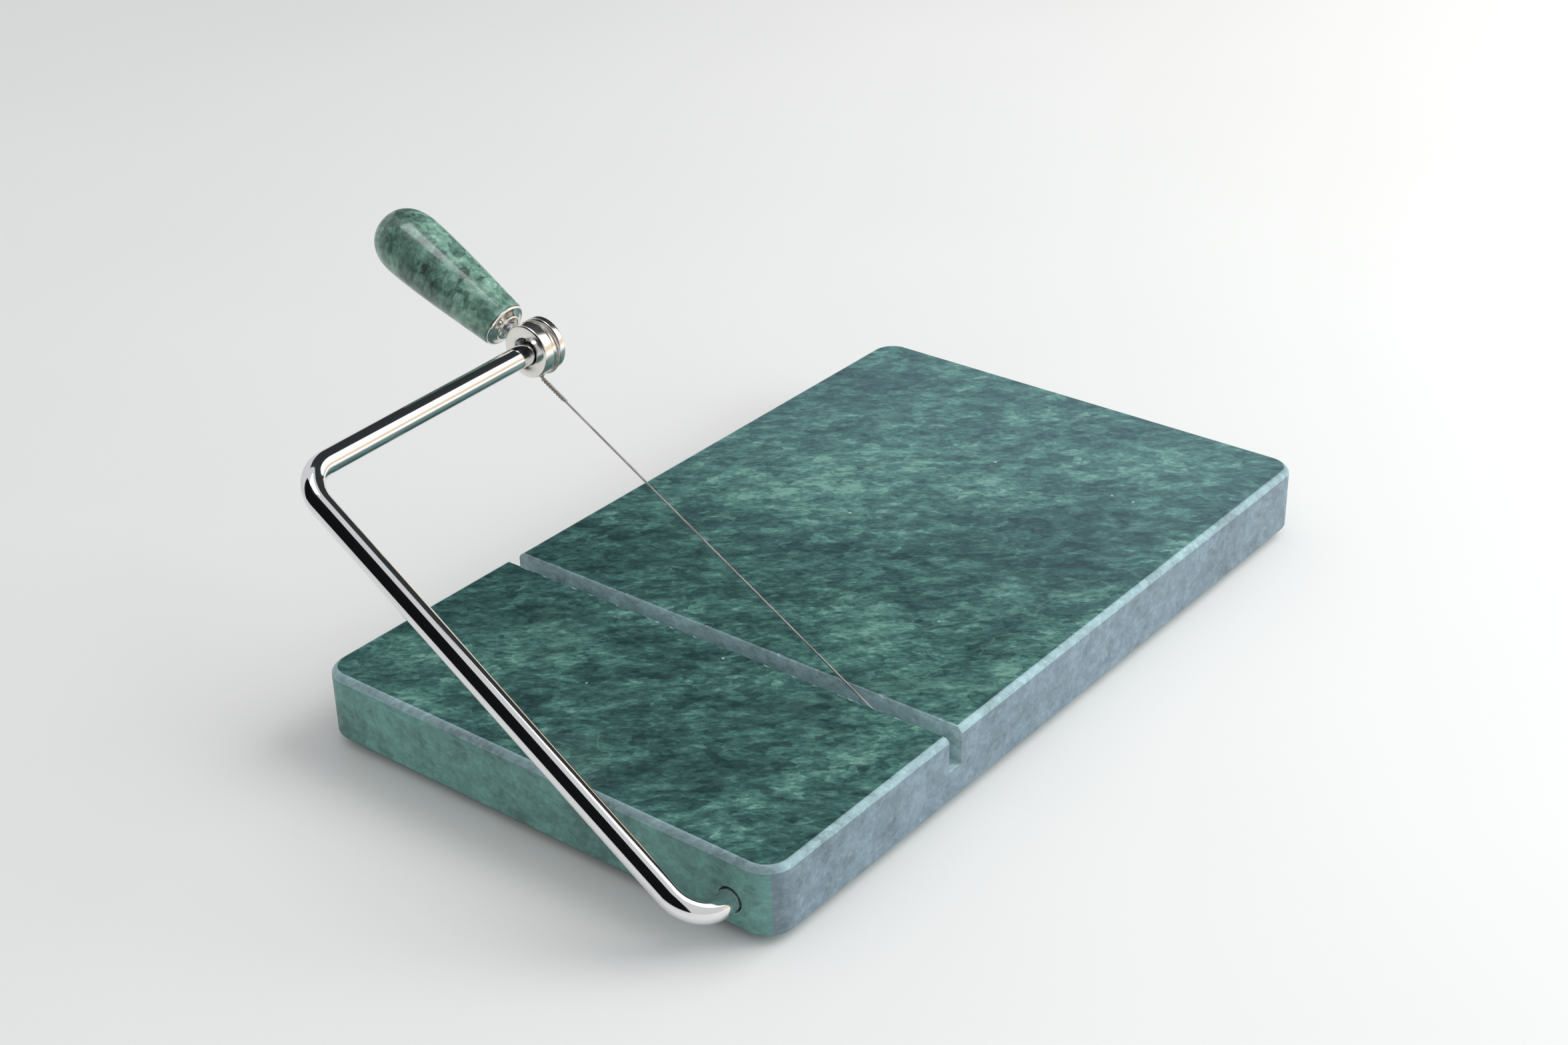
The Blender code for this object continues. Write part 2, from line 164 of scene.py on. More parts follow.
# ---------------------------------------------------------------- mesh tools


def link(obj, matrix=None):
    bpy.context.scene.collection.objects.link(obj)
    if matrix:
        obj.matrix_world = matrix
    return obj


def from_bmesh(name, bm, matrix=None):
    bmesh.ops.recalc_face_normals(bm, faces=bm.faces)
    mesh = bpy.data.meshes.new(name)
    bm.to_mesh(mesh)
    bm.free()
    return link(bpy.data.objects.new(name, mesh), matrix)


def settled(obj):
    """The object with its modifiers applied, as one welded mesh."""
    bpy.context.view_layer.update()
    graph = bpy.context.evaluated_depsgraph_get()
    mesh = bpy.data.meshes.new_from_object(obj.evaluated_get(graph))
    bm = bmesh.new()
    bm.from_mesh(mesh)
    bmesh.ops.remove_doubles(bm, verts=bm.verts, dist=WELD)
    bmesh.ops.recalc_face_normals(bm, faces=bm.faces)
    bm.to_mesh(mesh)
    bm.free()
    name = obj.name
    matrix = obj.matrix_world.copy()
    bpy.data.objects.remove(obj, do_unlink=True)
    return link(bpy.data.objects.new(name, mesh), matrix)


def cut(obj, *cutters):
    """Takes the cutters out of the object, then removes them."""
    for cutter in cutters:
        boolean = obj.modifiers.new("cut", "BOOLEAN")
        boolean.operation = "DIFFERENCE"
        boolean.solver = "EXACT"
        boolean.use_self = True
        boolean.object = cutter
    made = settled(obj)
    for cutter in cutters:
        bpy.data.objects.remove(cutter, do_unlink=True)
    return made


def smooth(obj, angle):
    """Smooth shading, broken at edges sharper than this angle in degrees."""
    obj.data.shade_smooth()
    obj.data.set_sharp_from_angle(angle=math.radians(angle))
    return obj


def dress(piece, body, slot, material, *nodes):
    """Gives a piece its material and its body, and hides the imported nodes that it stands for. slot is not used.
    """
    if material:
        piece.data.materials.clear()
        piece.data.materials.append(material)
    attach(piece, body)
    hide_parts(*nodes)
    return piece


def filleted(corners, steps=5):
    """A profile through (radius, height, fillet) corners, each corner rounded by its own fillet."""
    points = []
    for i, (r, z, size) in enumerate(corners):
        here = Vector((r, z))
        if size == 0 or i in (0, len(corners) - 1):
            points.append(here)
            continue
        before = Vector(corners[i - 1][:2]) - here
        after = Vector(corners[i + 1][:2]) - here
        start = here + before.normalized() * min(size, before.length * 0.45)
        end = here + after.normalized() * min(size, after.length * 0.45)
        for k in range(steps + 1):
            t = k / steps
            points.append(start * (1 - t) ** 2 + here * 2 * t * (1 - t) + end * t * t)
    return [tuple(point) for point in points]


def turned(name, profile, matrix, steps, angle=35):
    """A shape turned about its own Z, from the (radius, height) points of its outline."""
    mesh = bpy.data.meshes.new(name)
    edges = [(i, i + 1) for i in range(len(profile) - 1)]
    mesh.from_pydata([(r, 0, z) for r, z in profile], edges, [])
    obj = link(bpy.data.objects.new(name, mesh), matrix)
    screw = obj.modifiers.new("turn", "SCREW")
    screw.steps = steps
    screw.render_steps = steps
    screw.use_merge_vertices = True
    screw.merge_threshold = 0.001 * MM
    return smooth(settled(obj), angle)


def tube(name, path, radius, resolution, matrix, scales=None):
    """A bar or wire along a path of points, with closed ends."""
    data = bpy.data.curves.new(name, "CURVE")
    data.dimensions = "3D"
    data.bevel_depth = radius
    data.bevel_resolution = resolution
    data.use_fill_caps = True
    spline = data.splines.new("POLY")
    spline.points.add(len(path) - 1)
    for i, point in enumerate(path):
        spline.points[i].co = (*point, 1.0)
        spline.points[i].radius = scales[i] if scales else 1.0
    return smooth(settled(link(bpy.data.objects.new(name, data), matrix)), 40)


def arc(centre, radius, start, end, steps):
    """Points of an arc in a plane, as (first, second) coordinates, angles in radians."""
    points = []
    for i in range(steps + 1):
        angle = start + (end - start) * i / steps
        points.append(
            (centre[0] + radius * math.cos(angle), centre[1] + radius * math.sin(angle))
        )
    return points


# ---------------------------------------------------------------- materials


class Paint:
    """A node material being built. Its methods add a node each and return its output socket."""

    def __init__(self, name, stretch=(1, 1, 1), turn=(0, 0, 0)):
        self.mat = bpy.data.materials.new(name)
        self.mat.use_nodes = True
        self.tree = self.mat.node_tree
        self.shader = self.tree.nodes["Principled BSDF"]
        self.place = self.node("ShaderNodeTexCoord").outputs["Object"]
        settings = {"Vector": self.place, "Rotation": turn, "Scale": stretch}
        self.grain = self.node("ShaderNodeMapping", settings, vector_type="TEXTURE").outputs[0]

    def node(self, kind, inputs=None, **settings):
        made = self.tree.nodes.new(kind)
        for key, value in settings.items():
            setattr(made, key, value)
        for key, value in (inputs or {}).items():
            if isinstance(value, bpy.types.NodeSocket):
                self.tree.links.new(value, made.inputs[key])
            else:
                made.inputs[key].default_value = value
        return made

    def noise(self, scale, detail=4, roughness=0.55, distortion=0.0, vector=None, colour=False):
        inputs = {
            "Vector": vector or self.grain,
            "Scale": scale,
            "Detail": detail,
            "Roughness": roughness,
            "Distortion": distortion,
        }
        return self.node("ShaderNodeTexNoise", inputs).outputs[1 if colour else 0]

    def cells(self, scale, feature="F1", output="Distance", vector=None):
        inputs = {"Vector": vector or self.grain, "Scale": scale}
        return self.node("ShaderNodeTexVoronoi", inputs, feature=feature).outputs[output]

    def warped(self, scale, amount, vector=None):
        """The grain's coordinates, pushed about by a noise of this scale."""
        start = vector or self.grain
        push = self.noise(scale, 3, 0.5, 0, start, colour=True)
        inputs = {0: push, 1: (amount,) * 3, 2: start}
        return self.node("ShaderNodeVectorMath", inputs, operation="MULTIPLY_ADD").outputs[0]

    def math(self, operation, a, b=0.0):
        return self.node("ShaderNodeMath", {0: a, 1: b}, operation=operation).outputs[0]

    def spread(self, value, low, high, to_low=0.0, to_high=1.0):
        inputs = {"Value": value, "From Min": low, "From Max": high}
        inputs |= {"To Min": to_low, "To Max": to_high}
        node = self.node("ShaderNodeMapRange", inputs, interpolation_type="SMOOTHSTEP")
        return node.outputs[0]

    def axis(self, index):
        return self.node("ShaderNodeSeparateXYZ", {0: self.place}).outputs[index]

    def ramp(self, value, stops):
        node = self.node("ShaderNodeValToRGB", {0: value})
        elements = node.color_ramp.elements
        for _ in range(len(stops) - 2):
            elements.new(0.5)
        for element, (position, colour) in zip(elements, stops):
            element.position = position
            element.color = (*colour, 1.0)
        return node.outputs[0]

    def blend(self, factor, a, b, mode="MIX"):
        inputs = {0: factor, 6: a, 7: b if isinstance(b, bpy.types.NodeSocket) else (*b, 1.0)}
        node = self.node("ShaderNodeMix", inputs, data_type="RGBA", blend_type=mode)
        return node.outputs[2]

    def lines(self, colour, edge, width, where, limits, shade):
        """Thin lines of shade where edge is near zero.

        limits are the values of where at which the lines start and are fullest, and their strength.
        """
        start, full, strength = limits
        mark = self.spread(edge, 0.0, width, 1.0, 0.0)
        shown = self.spread(where, start, full, 0.0, strength)
        return self.blend(self.math("MULTIPLY", mark, shown), colour, shade)

    def bump(self, height, distance, strength=1.0, normal=None):
        inputs = {"Height": height, "Distance": distance, "Strength": strength}
        if normal:
            inputs["Normal"] = normal
        return self.node("ShaderNodeBump", inputs).outputs[0]

    def done(self, **sockets):
        """Sets the shader's sockets, named with _ for a space, and returns the material."""
        for key, value in sockets.items():
            socket = self.shader.inputs[key.replace("_", " ")]
            if isinstance(value, bpy.types.NodeSocket):
                self.tree.links.new(value, socket)
            else:
                socket.default_value = value
        return self.mat


# Polished stone: its darkest grains, its body, its light grains and its palest veins
POLISHED_STOPS = (0.03, 0.50, 0.82, 0.98)
BOARD_COLOURS = (0.015, 0.04, 0.042), (0.042, 0.108, 0.10), (0.08, 0.195, 0.17), (0.16, 0.32, 0.26)
GRIP_COLOURS = (0.04, 0.065, 0.06), (0.13, 0.25, 0.20), (0.25, 0.42, 0.34), (0.48, 0.66, 0.58)

# Sawn and honed stone shows one body colour, and these shares of it as (place on the ramp, share)
SAWN_SHADES = (0.05, 0.65), (0.35, 0.92), (0.65, 1.09), (0.95, 1.38)
# The two sides are one stone and differ only as painted light: the long side's bluer colour is a painted cast of
# bluish light, and the short side's greener colour is a painted shade tint
SHORT_SIDE_PAINTED_SHADE = (0.12, 0.275, 0.25)
LONG_SIDE_PAINTED_LIGHT = (0.145, 0.205, 0.245)
TOP_EDGE = (0.24, 0.36, 0.39)
SLOT_WALL = (0.32, 0.44, 0.46)

# Painted sheen that the polished top gains towards +X, standing in for a reflection, and where that starts and
# ends
TOP_PAINTED_SHEEN = (0.05, 0.07, 0.086)
PAINTED_SHEEN_SPAN = -40 * MM, 95 * MM

# The stone's grain: how long its streaks are, and which way they run, in degrees
GRAIN_STRETCH = (1.9, 1.0, 1.0)
BOARD_GRAIN = -52
GRIP_GRAIN = 75
SPECK = (0.55, 0.66, 0.62)
SAWN_GLOSS = 0.3  # a stone duller than this has a sawn, rougher skin


def polished(colours):
    """A ramp through these four colours."""
    return list(zip(POLISHED_STOPS, colours))


def sawn(body):
    """A ramp of shades of one colour."""
    return [(place, tuple(channel * share for channel in body)) for place, share in SAWN_SHADES]


def stone(name, tones, gloss, veins, fine=1.0, turn=BOARD_GRAIN, painted_sheen=None):
    """Green serpentine marble: dark grains, cloudy pale patches, thin veins, cracks and specks.

    tones is a ramp from its darkest to its palest colour, gloss the roughness of its smoothest
    and dullest spots, and veins how strongly the pale marks show. fine above 1 makes the pattern
    smaller, turn is the grain's direction, and painted_sheen a painted sheen colour that the
    stone gains towards +X, standing in for a reflection.
    """
    paint = Paint(name, GRAIN_STRETCH, (0, 0, math.radians(turn)))
    flow = paint.warped(70, 3.5 * MM)
    broad = paint.warped(16, 16 * MM)
    drift = paint.noise(19, 3, 0.5, 0, broad)
    patch = paint.noise(82 * fine, 4, 0.6, 0.25, flow)
    mottle = paint.noise(300 * fine, 6, 0.62, 0, flow)
    grains = paint.noise(1150 * fine, 4, 0.65, 0, flow)
    flakes = paint.cells(560 * fine, output="Color", vector=paint.warped(800, 1.0 * MM, flow))
    tone = paint.math("MULTIPLY", mottle, 0.27)
    for layer, share in ((drift, 0.20), (patch, 0.24), (grains, 0.25), (flakes, 0.10)):
        tone = paint.math("ADD", tone, paint.math("MULTIPLY", layer, share))
    tone = paint.spread(tone, 0.39, 0.67)
    colour = paint.ramp(tone, tones)
    pale = tones[-1][1]
    dark = tones[0][1]

    cloud = paint.spread(paint.noise(48, 5, 0.6, 0.8, flow), 0.56, 0.74, 0.0, 0.35 * veins)
    cloud = paint.math("MULTIPLY", cloud, paint.spread(mottle, 0.40, 0.62))
    colour = paint.blend(cloud, colour, pale)

    vein = paint.math("ABSOLUTE", paint.math("SUBTRACT", paint.noise(42, 6, 0.6, 0.9, flow), 0.5))
    where = paint.noise(26, 2, 0.5)
    colour = paint.lines(colour, vein, 0.012, where, (0.50, 0.68, 0.40 * veins), pale)

    hair = paint.cells(58, "DISTANCE_TO_EDGE", vector=paint.warped(80, 7 * MM, paint.place))
    where = paint.noise(60, 3, 0.6, 0, paint.place)
    colour = paint.lines(colour, hair, 0.014, where, (0.58, 0.68, 0.32 * veins), pale)

    crack = paint.cells(95, "DISTANCE_TO_EDGE", vector=flow)
    where = paint.noise(75, 3, 0.6)
    colour = paint.lines(colour, crack, 0.03, where, (0.55, 0.66, 0.4), dark)

    chosen = paint.math("GREATER_THAN", paint.cells(520, output="Color", vector=paint.place), 0.965)
    dots = paint.math("LESS_THAN", paint.cells(520, vector=paint.place), 0.20)
    dots = paint.math("MULTIPLY", paint.math("MULTIPLY", chosen, dots), 0.6)
    colour = paint.blend(dots, colour, SPECK)

    # Painted sheen: adds a lighter colour towards +X, standing in for a reflection on the polished top
    if painted_sheen:
        along = paint.spread(paint.axis(0), *PAINTED_SHEEN_SPAN)
        colour = paint.blend(along, colour, painted_sheen, "ADD")

    rough = paint.spread(paint.noise(95, 4, 0.6), 0.3, 0.7, *gloss)
    coarse = gloss[1] > SAWN_GLOSS
    relief = paint.noise(1400 if coarse else 420, 5, 0.7, 0, paint.place)
    normal = paint.bump(relief, (0.09 if coarse else 0.015) * MM)
    return paint.done(Base_Color=colour, Roughness=rough, Normal=normal)


def plated(name, colour, gloss, tint=(0.90, 0.88, 0.84)):
    """Bright plate over steel, with faint smears, hairline scratches and a slightly uneven skin."""
    paint = Paint(name)
    smear = paint.noise(120, 4, 0.6, 0.5)
    rough = paint.spread(smear, 0.35, 0.75, *gloss)
    shade = paint.blend(paint.spread(smear, 0.4, 0.8, 0.0, 0.35), (*colour, 1.0), tint, "MULTIPLY")
    skin = paint.noise(230, 2, 0.5)
    normal = paint.bump(skin, 0.004 * MM, 0.35)
    scratch = paint.cells(260, "DISTANCE_TO_EDGE", vector=paint.warped(60, 9 * MM))
    scratch = paint.spread(scratch, 0.0, 0.012)
    normal = paint.bump(scratch, 0.002 * MM, 0.35, normal)
    return paint.done(Base_Color=shade, Metallic=1.0, Roughness=rough, Normal=normal)


def bare_metal(name, colour, gloss, streak=(1, 1, 1)):
    """Unplated metal with dull patches and fine marks, which streak draws out along an axis."""
    paint = Paint(name, streak)
    marks = paint.noise(1500, 4, 0.6)
    dull = paint.noise(300, 3, 0.6, 0, paint.place)
    rough = paint.spread(dull, 0.3, 0.7, *gloss)
    marked = [channel * 0.62 for channel in colour]
    shade = paint.blend(paint.spread(marks, 0.35, 0.7), (*colour, 1.0), marked)
    normal = paint.bump(marks, 0.01 * MM, 0.6)
    return paint.done(Base_Color=shade, Metallic=1.0, Roughness=rough, Normal=normal)


def rubber(name):
    paint = Paint(name)
    grit = paint.noise(900, 4, 0.7)
    shade = paint.ramp(grit, ((0.3, (0.012, 0.012, 0.013)), (0.75, (0.045, 0.045, 0.047))))
    rough = paint.spread(paint.noise(220, 3), 0.3, 0.7, 0.62, 0.88)
    normal = paint.bump(grit, 0.05 * MM)
    return paint.done(Base_Color=shade, Roughness=rough, Normal=normal)


# ---------------------------------------------------------------- board and feet


def slab():
    """The board before it is cut: rounded corners and a soft chamfer round both faces."""
    bm = bmesh.new()
    bmesh.ops.create_cube(bm, size=1.0)
    bmesh.ops.scale(bm, vec=(BOARD_L, BOARD_W, BOARD_T), verts=bm.verts)
    bmesh.ops.translate(bm, verts=bm.verts, vec=(0, 0, BOARD_T / 2))
    upright = [e for e in bm.edges if abs(e.verts[0].co.z - e.verts[1].co.z) > BOARD_T / 2]
    bmesh.ops.bevel(
        bm, geom=upright, offset=CORNER_R, offset_type="OFFSET", segments=20, profile=0.5,
        affect="EDGES",
    )
    board = from_bmesh("board_stone", bm)
    bevel = board.modifiers.new("edges", "BEVEL")
    bevel.width = EDGE_BEVEL
    bevel.segments = 6
    bevel.profile = 0.36
    bevel.limit_method = "ANGLE"
    bevel.angle_limit = math.radians(40)
    return board


def slot_cutter():
    """The saw's kerf: a flat-bottomed channel whose top edges are eased."""
    half = SLOT_W / 2
    floor = BOARD_T - SLOT_DEPTH
    heel = 0.3 * MM
    above = BOARD_T + 3 * MM
    flare = SLOT_EDGE + above - BOARD_T
    outline = [
        (half - heel, floor),
        (half, floor + heel),
        (half, BOARD_T - SLOT_EDGE),
        (half + flare, above),
    ]
    outline += [(-x, z) for x, z in reversed(outline)]
    bm = bmesh.new()
    start = -BOARD_W / 2 - 4 * MM
    ring = [bm.verts.new((SLOT_X + x, start, z)) for x, z in outline]
    face = bm.faces.new(ring)
    grown = bmesh.ops.extrude_face_region(bm, geom=[face])["geom"]
    verts = [item for item in grown if isinstance(item, bmesh.types.BMVert)]
    bmesh.ops.translate(bm, verts=verts, vec=(0, -2 * start, 0))
    return from_bmesh("slot_cutter", bm)


def bore_cutter():
    """The drilled hinge bore, with a small countersink where it enters the short face."""
    depth = BOARD_L / 2 + BORE_END_X
    drill_tip = 1.2 * MM
    sink = 0.25 * MM
    outside = -4 * MM
    profile = [
        (0, depth),
        (BORE_R * 0.4, depth),
        (BORE_R, depth - drill_tip),
        (BORE_R, sink),
        (BORE_R + sink, 0),
        (BORE_R + sink, outside),
        (0, outside),
    ]
    place = Matrix.Translation((-BOARD_L / 2, HINGE.y, HINGE.z)) @ Matrix.Rotation(
        RIGHT_ANGLE, 4, "Y"
    )
    return turned("bore_cutter", profile, place, 64)


def foot_places():
    x = BOARD_L / 2 - FOOT_INSET
    y = BOARD_W / 2 - FOOT_INSET
    return (-x, -y), (x, -y), (x, y), (-x, y)


def recess_cutters():
    below = -2 * MM
    profile = [(0, FOOT_RECESS), (FOOT_RECESS_R, FOOT_RECESS), (FOOT_RECESS_R, below), (0, below)]
    places = [Matrix.Translation((x, y, 0)) for x, y in foot_places()]
    return [turned("recess_cutter", profile, place, 64) for place in places]


def chip_cutter():
    """Small ragged bites along the edges of the slot, where the saw broke the stone."""
    draw = random.Random(CHIP_SEED)
    margin = 3 * MM
    ragged = 0.35
    drawn_out = 2.1
    raised = 0.35
    bm = bmesh.new()
    for _ in range(SLOT_CHIPS):
        side = draw.choice((-1, 1))
        x = SLOT_X + side * (SLOT_W / 2 + SLOT_EDGE * 0.6)
        y = draw.uniform(-BOARD_W / 2 + margin, BOARD_W / 2 - margin)
        size = draw.uniform(*CHIP_SIZES) * MM
        made = bmesh.ops.create_icosphere(bm, subdivisions=2, radius=size)["verts"]
        for vert in made:
            spot = vert.co / size * 1.7 + Vector((y, x, size)) * 1e4
            vert.co *= 1 + ragged * noise.noise(spot)
            vert.co.y *= drawn_out
            vert.co += Vector((x, y, BOARD_T + size * raised))
    return from_bmesh("chip_cutter", bm)


TOP_FACE, RIM_FACE, SHORT_FACE, LONG_FACE, CUT_FACE = range(5)


def stone_face(centre, normal):
    """Which of the board's finishes a face has."""
    near = 0.01 * MM
    upright = 0.03
    side = SHORT_FACE if abs(normal.x) > abs(normal.y) else LONG_FACE
    outer = abs(centre.x) > BOARD_L / 2 - near or abs(centre.y) > BOARD_W / 2 - near
    corner_x = abs(centre.x) - (BOARD_L / 2 - CORNER_R)
    corner_y = abs(centre.y) - (BOARD_W / 2 - CORNER_R)
    corner = corner_x > 0 and corner_y > 0
    if centre.z > BOARD_T - near:
        return TOP_FACE
    if abs(normal.z) < upright and (outer or corner):
        return side
    if centre.z < near:
        return SHORT_FACE
    if centre.z > BOARD_T - EDGE_BEVEL and normal.z > upright:
        return RIM_FACE
    near_side = max(corner_x, corner_y) > CORNER_R - EDGE_BEVEL or corner
    if centre.z < EDGE_BEVEL and near_side:
        return side
    return CUT_FACE


def build_board():
    board = cut(slab(), slot_cutter(), bore_cutter(), *recess_cutters(), chip_cutter())
    # In the order of stone_face's numbers
    finishes = (
        stone("marble_polished", polished(BOARD_COLOURS), (0.12, 0.22), 1.0, painted_sheen=TOP_PAINTED_SHEEN),
        stone("marble_honed_edge", sawn(TOP_EDGE), (0.30, 0.42), 0.35),
        # Painted shade on the short side and the underside, painted light on the long side
        stone("marble_sawn_short_painted_shade", sawn(SHORT_SIDE_PAINTED_SHADE), (0.46, 0.60), 0.25),
        stone("marble_sawn_long_painted_light", sawn(LONG_SIDE_PAINTED_LIGHT), (0.40, 0.55), 0.55),
        stone("marble_kerf", sawn(SLOT_WALL), (0.50, 0.62), 0.3),
    )
    for finish in finishes:
        board.data.materials.append(finish)
    smooth(board, 50)
    for polygon in board.data.polygons:
        polygon.material_index = stone_face(polygon.center, polygon.normal)
    shading = board.modifiers.new("even_shading", "WEIGHTED_NORMAL")
    shading.mode = "FACE_AREA"
    shading.weight = 100
    shading.keep_sharp = True
    dress(board, "board", "green_marble", None, "marble_board")


def build_feet():
    """Moulded rubber buttons: a domed rim and a slightly dished sole."""
    black = rubber("black_rubber")
    top = FOOT_HIGH.z - FOOT_LOW.z
    shoulder = 0.9 * MM
    sole_outer = FOOT_R - 0.5 * MM
    sole_inner = FOOT_R - 1.6 * MM
    dish_r = FOOT_R - 2.1 * MM
    dish = 0.25 * MM
    corners = [
        (0, top, 0),
        (FOOT_R, top, 0.1 * MM),
        (FOOT_R, shoulder, 0.3 * MM),
        (sole_outer, 0, 0.45 * MM),
        (sole_inner, 0, 0.2 * MM),
        (dish_r, dish, 0.3 * MM),
        (0, dish, 0),
    ]
    for i, (x, y) in enumerate(foot_places()):
        place = Matrix.Translation((x, y, FOOT_LOW.z))
        foot = turned(f"foot_button_{i + 1}", filleted(corners), place, 64)
        dress(foot, "board", "foot_rubber", black, f"rubber_foot_{i + 1}")


# ---------------------------------------------------------------- bow


def rod_path():
    """The bow's two bends and its end, as (along X, out from the hinge) points."""
    corner_x = -BOARD_L / 2 - BOW_OUTSET
    lower = arc((corner_x + BEND_R, BEND_R), BEND_R, math.radians(270), math.radians(180), BEND_STEPS)
    turn = RIGHT_ANGLE - TOP_SPLAY
    trim = BEND_R * math.tan(turn / 2)
    centre = (corner_x + BEND_R, BOW_REACH - trim)
    upper = arc(centre, BEND_R, math.radians(180), math.radians(180) - turn, BEND_STEPS)
    end_x = DRUM_FACE_X + DRUM_LEN + ROD_PAST_DRUM
    end = Vector((end_x, BOW_REACH + (end_x - corner_x) * math.tan(TOP_SPLAY)))
    return lower + upper, end


def rod_groove():
    """The hinge leg from its chamfered tip past the wire's groove, as (x, share of radius)."""
    clearance = 0.5 * MM
    tip = BORE_END_X - clearance
    steps = 6
    points = []
    for i in range(steps + 1):
        turn = RIGHT_ANGLE * i / steps
        x = tip - ROD_CHAMFER * (1 - math.cos(turn))
        points.append((x, ROD_TIP + ROD_TIP_RISE * math.sin(turn)))
    shoulder = 0.35 * MM
    reach = ROD_GROOVE_W / 2 + shoulder
    depth = 1 - ROD_GROOVE_R / ROD_R
    steps = 12
    for i in range(steps + 1):
        across = 1 - 2 * i / steps
        floor = min(1.0, (1 - across * across) * 1.9)
        points.append((WRAP_X + across * reach, 1 - depth * floor))
    return points


def build_rod():
    path = []
    scales = []
    for x, scale in rod_groove():
        path.append((x, 0, 0))
        scales.append(scale)
    bends, end = rod_path()
    for x, y in bends:
        path.append((x, y, 0))
        scales.append(1.0)
    heading = Vector((math.cos(TOP_SPLAY), math.sin(TOP_SPLAY)))
    steps = 5
    for i in range(steps + 1):
        turn = RIGHT_ANGLE * i / steps
        point = end - heading * ROD_CHAMFER * (1 - math.sin(turn))
        path.append((point.x, point.y, 0))
        scales.append(ROD_TIP + ROD_TIP_RISE * math.cos(turn))
    rod = tube("bow_bar", path, ROD_R, 22, BOW, scales)
    through = 8 * MM
    bm = bmesh.new()
    bmesh.ops.create_cone(
        bm, cap_ends=True, segments=24, radius1=WIRE_HOLE_R, radius2=WIRE_HOLE_R, depth=through
    )
    hole = from_bmesh("wire_hole_cutter", bm, BOW @ Matrix.Translation((WRAP_X, 0, 0)))
    rod = smooth(cut(rod, hole), 40)
    chrome = plated("chrome_bar", (0.86, 0.865, 0.87), (0.045, 0.10))
    dress(rod, "bow", "rod_chrome", chrome, "bow_rod")


def wire_end_in_rod():
    """From the blind end in the rod's cross hole, half round the groove: (out, up) points."""
    blind_end = 0.8 * MM
    bend = 0.35 * MM
    points = [(0, blind_end), (0, -WRAP_R + bend)]
    points += arc((-bend, -WRAP_R + bend), bend, 0, -RIGHT_ANGLE, 8)[1:]
    return points + arc((0, 0), WRAP_R, math.radians(262), math.radians(91), 40)


def eye_path(start_angle):
    """Once round the drum: from its underside out over the top, and down its inner side.

    Points are (out from the drum's axis, up, distance behind the drum's front face).
    """
    points = []
    for out, up in arc((0, 0), EYE_R, start_angle, RIGHT_ANGLE, 60):
        share = max(0.0, out / EYE_R) ** 0.5
        behind = EYE_END_FROM_FACE if up > 0 else WIRE_FROM_FACE
        points.append((out, up, behind + (EYE_PAST_STUD - behind) * share))
    inner_side = arc((-EYE_SLACK, 0), EYE_R, RIGHT_ANGLE, EYE_END_ANGLE, 36)
    return points + [(out, up, EYE_END_FROM_FACE) for out, up in inner_side]


def wound(centre, heading, side, lift, phase, eased):
    """One strand of the twisted length, which runs from centre along heading.

    side and lift are square to heading, and phase is the angle that the strand starts at. An
    eased strand comes in to the centre line at both ends.
    """
    steps = TWIST_TURNS * TWIST_STEPS
    points = []
    for i in range(steps + 1):
        along = TWIST_LEN * i / steps
        reach = TWIST_R
        if eased:
            reach *= min(1.0, along / TWIST_EASE, (TWIST_LEN - along) / TWIST_EASE)
        around = phase - math.radians(360 / TWIST_STEPS * i)
        offset = (side * math.cos(around) + lift * math.sin(around)) * reach
        points.append(centre + heading * along + offset)
    return points


def wire_path():
    """The whole wire: its end in the rod, the taut length, the eye and the tail twisted back."""
    off_top = 0.04 * MM
    straight_end = 1 * MM
    start = Vector((WRAP_X, off_top, WRAP_R))
    fall = math.atan2(WRAP_R + EYE_R, DRUM_OUT)
    angle = -RIGHT_ANGLE - fall
    leave_x = DRUM_FACE_X + WIRE_FROM_FACE
    touch = Vector((leave_x, DRUM_OUT + EYE_R * math.cos(angle), EYE_R * math.sin(angle)))
    slope = (touch - start).normalized()
    lift = Vector((1, 0, 0)).cross(slope).normalized()
    side = slope.cross(lift)
    twist_from = touch - slope * TWIST_START
    path = [Vector((WRAP_X, y, z)) for y, z in wire_end_in_rod()]
    path.append(start)
    path += reversed(wound(twist_from, -slope, side, lift, math.pi, True))
    path.append(touch - slope * straight_end)
    for out, up, behind in eye_path(angle):
        path.append(Vector((DRUM_FACE_X + behind, DRUM_OUT + out, up)))
    return path + wound(twist_from, -slope, side, lift, 0, False)


def build_wire():
    wire = tube("taut_wire", [tuple(point) for point in wire_path()], WIRE_R, 4, BOW)
    steel = bare_metal("dull_wire", (0.74, 0.70, 0.66), (0.34, 0.50), (1, 12, 1))
    dress(wire, "bow", "wire_steel", steel, "cutting_wire")


# ---------------------------------------------------------------- drum and handle


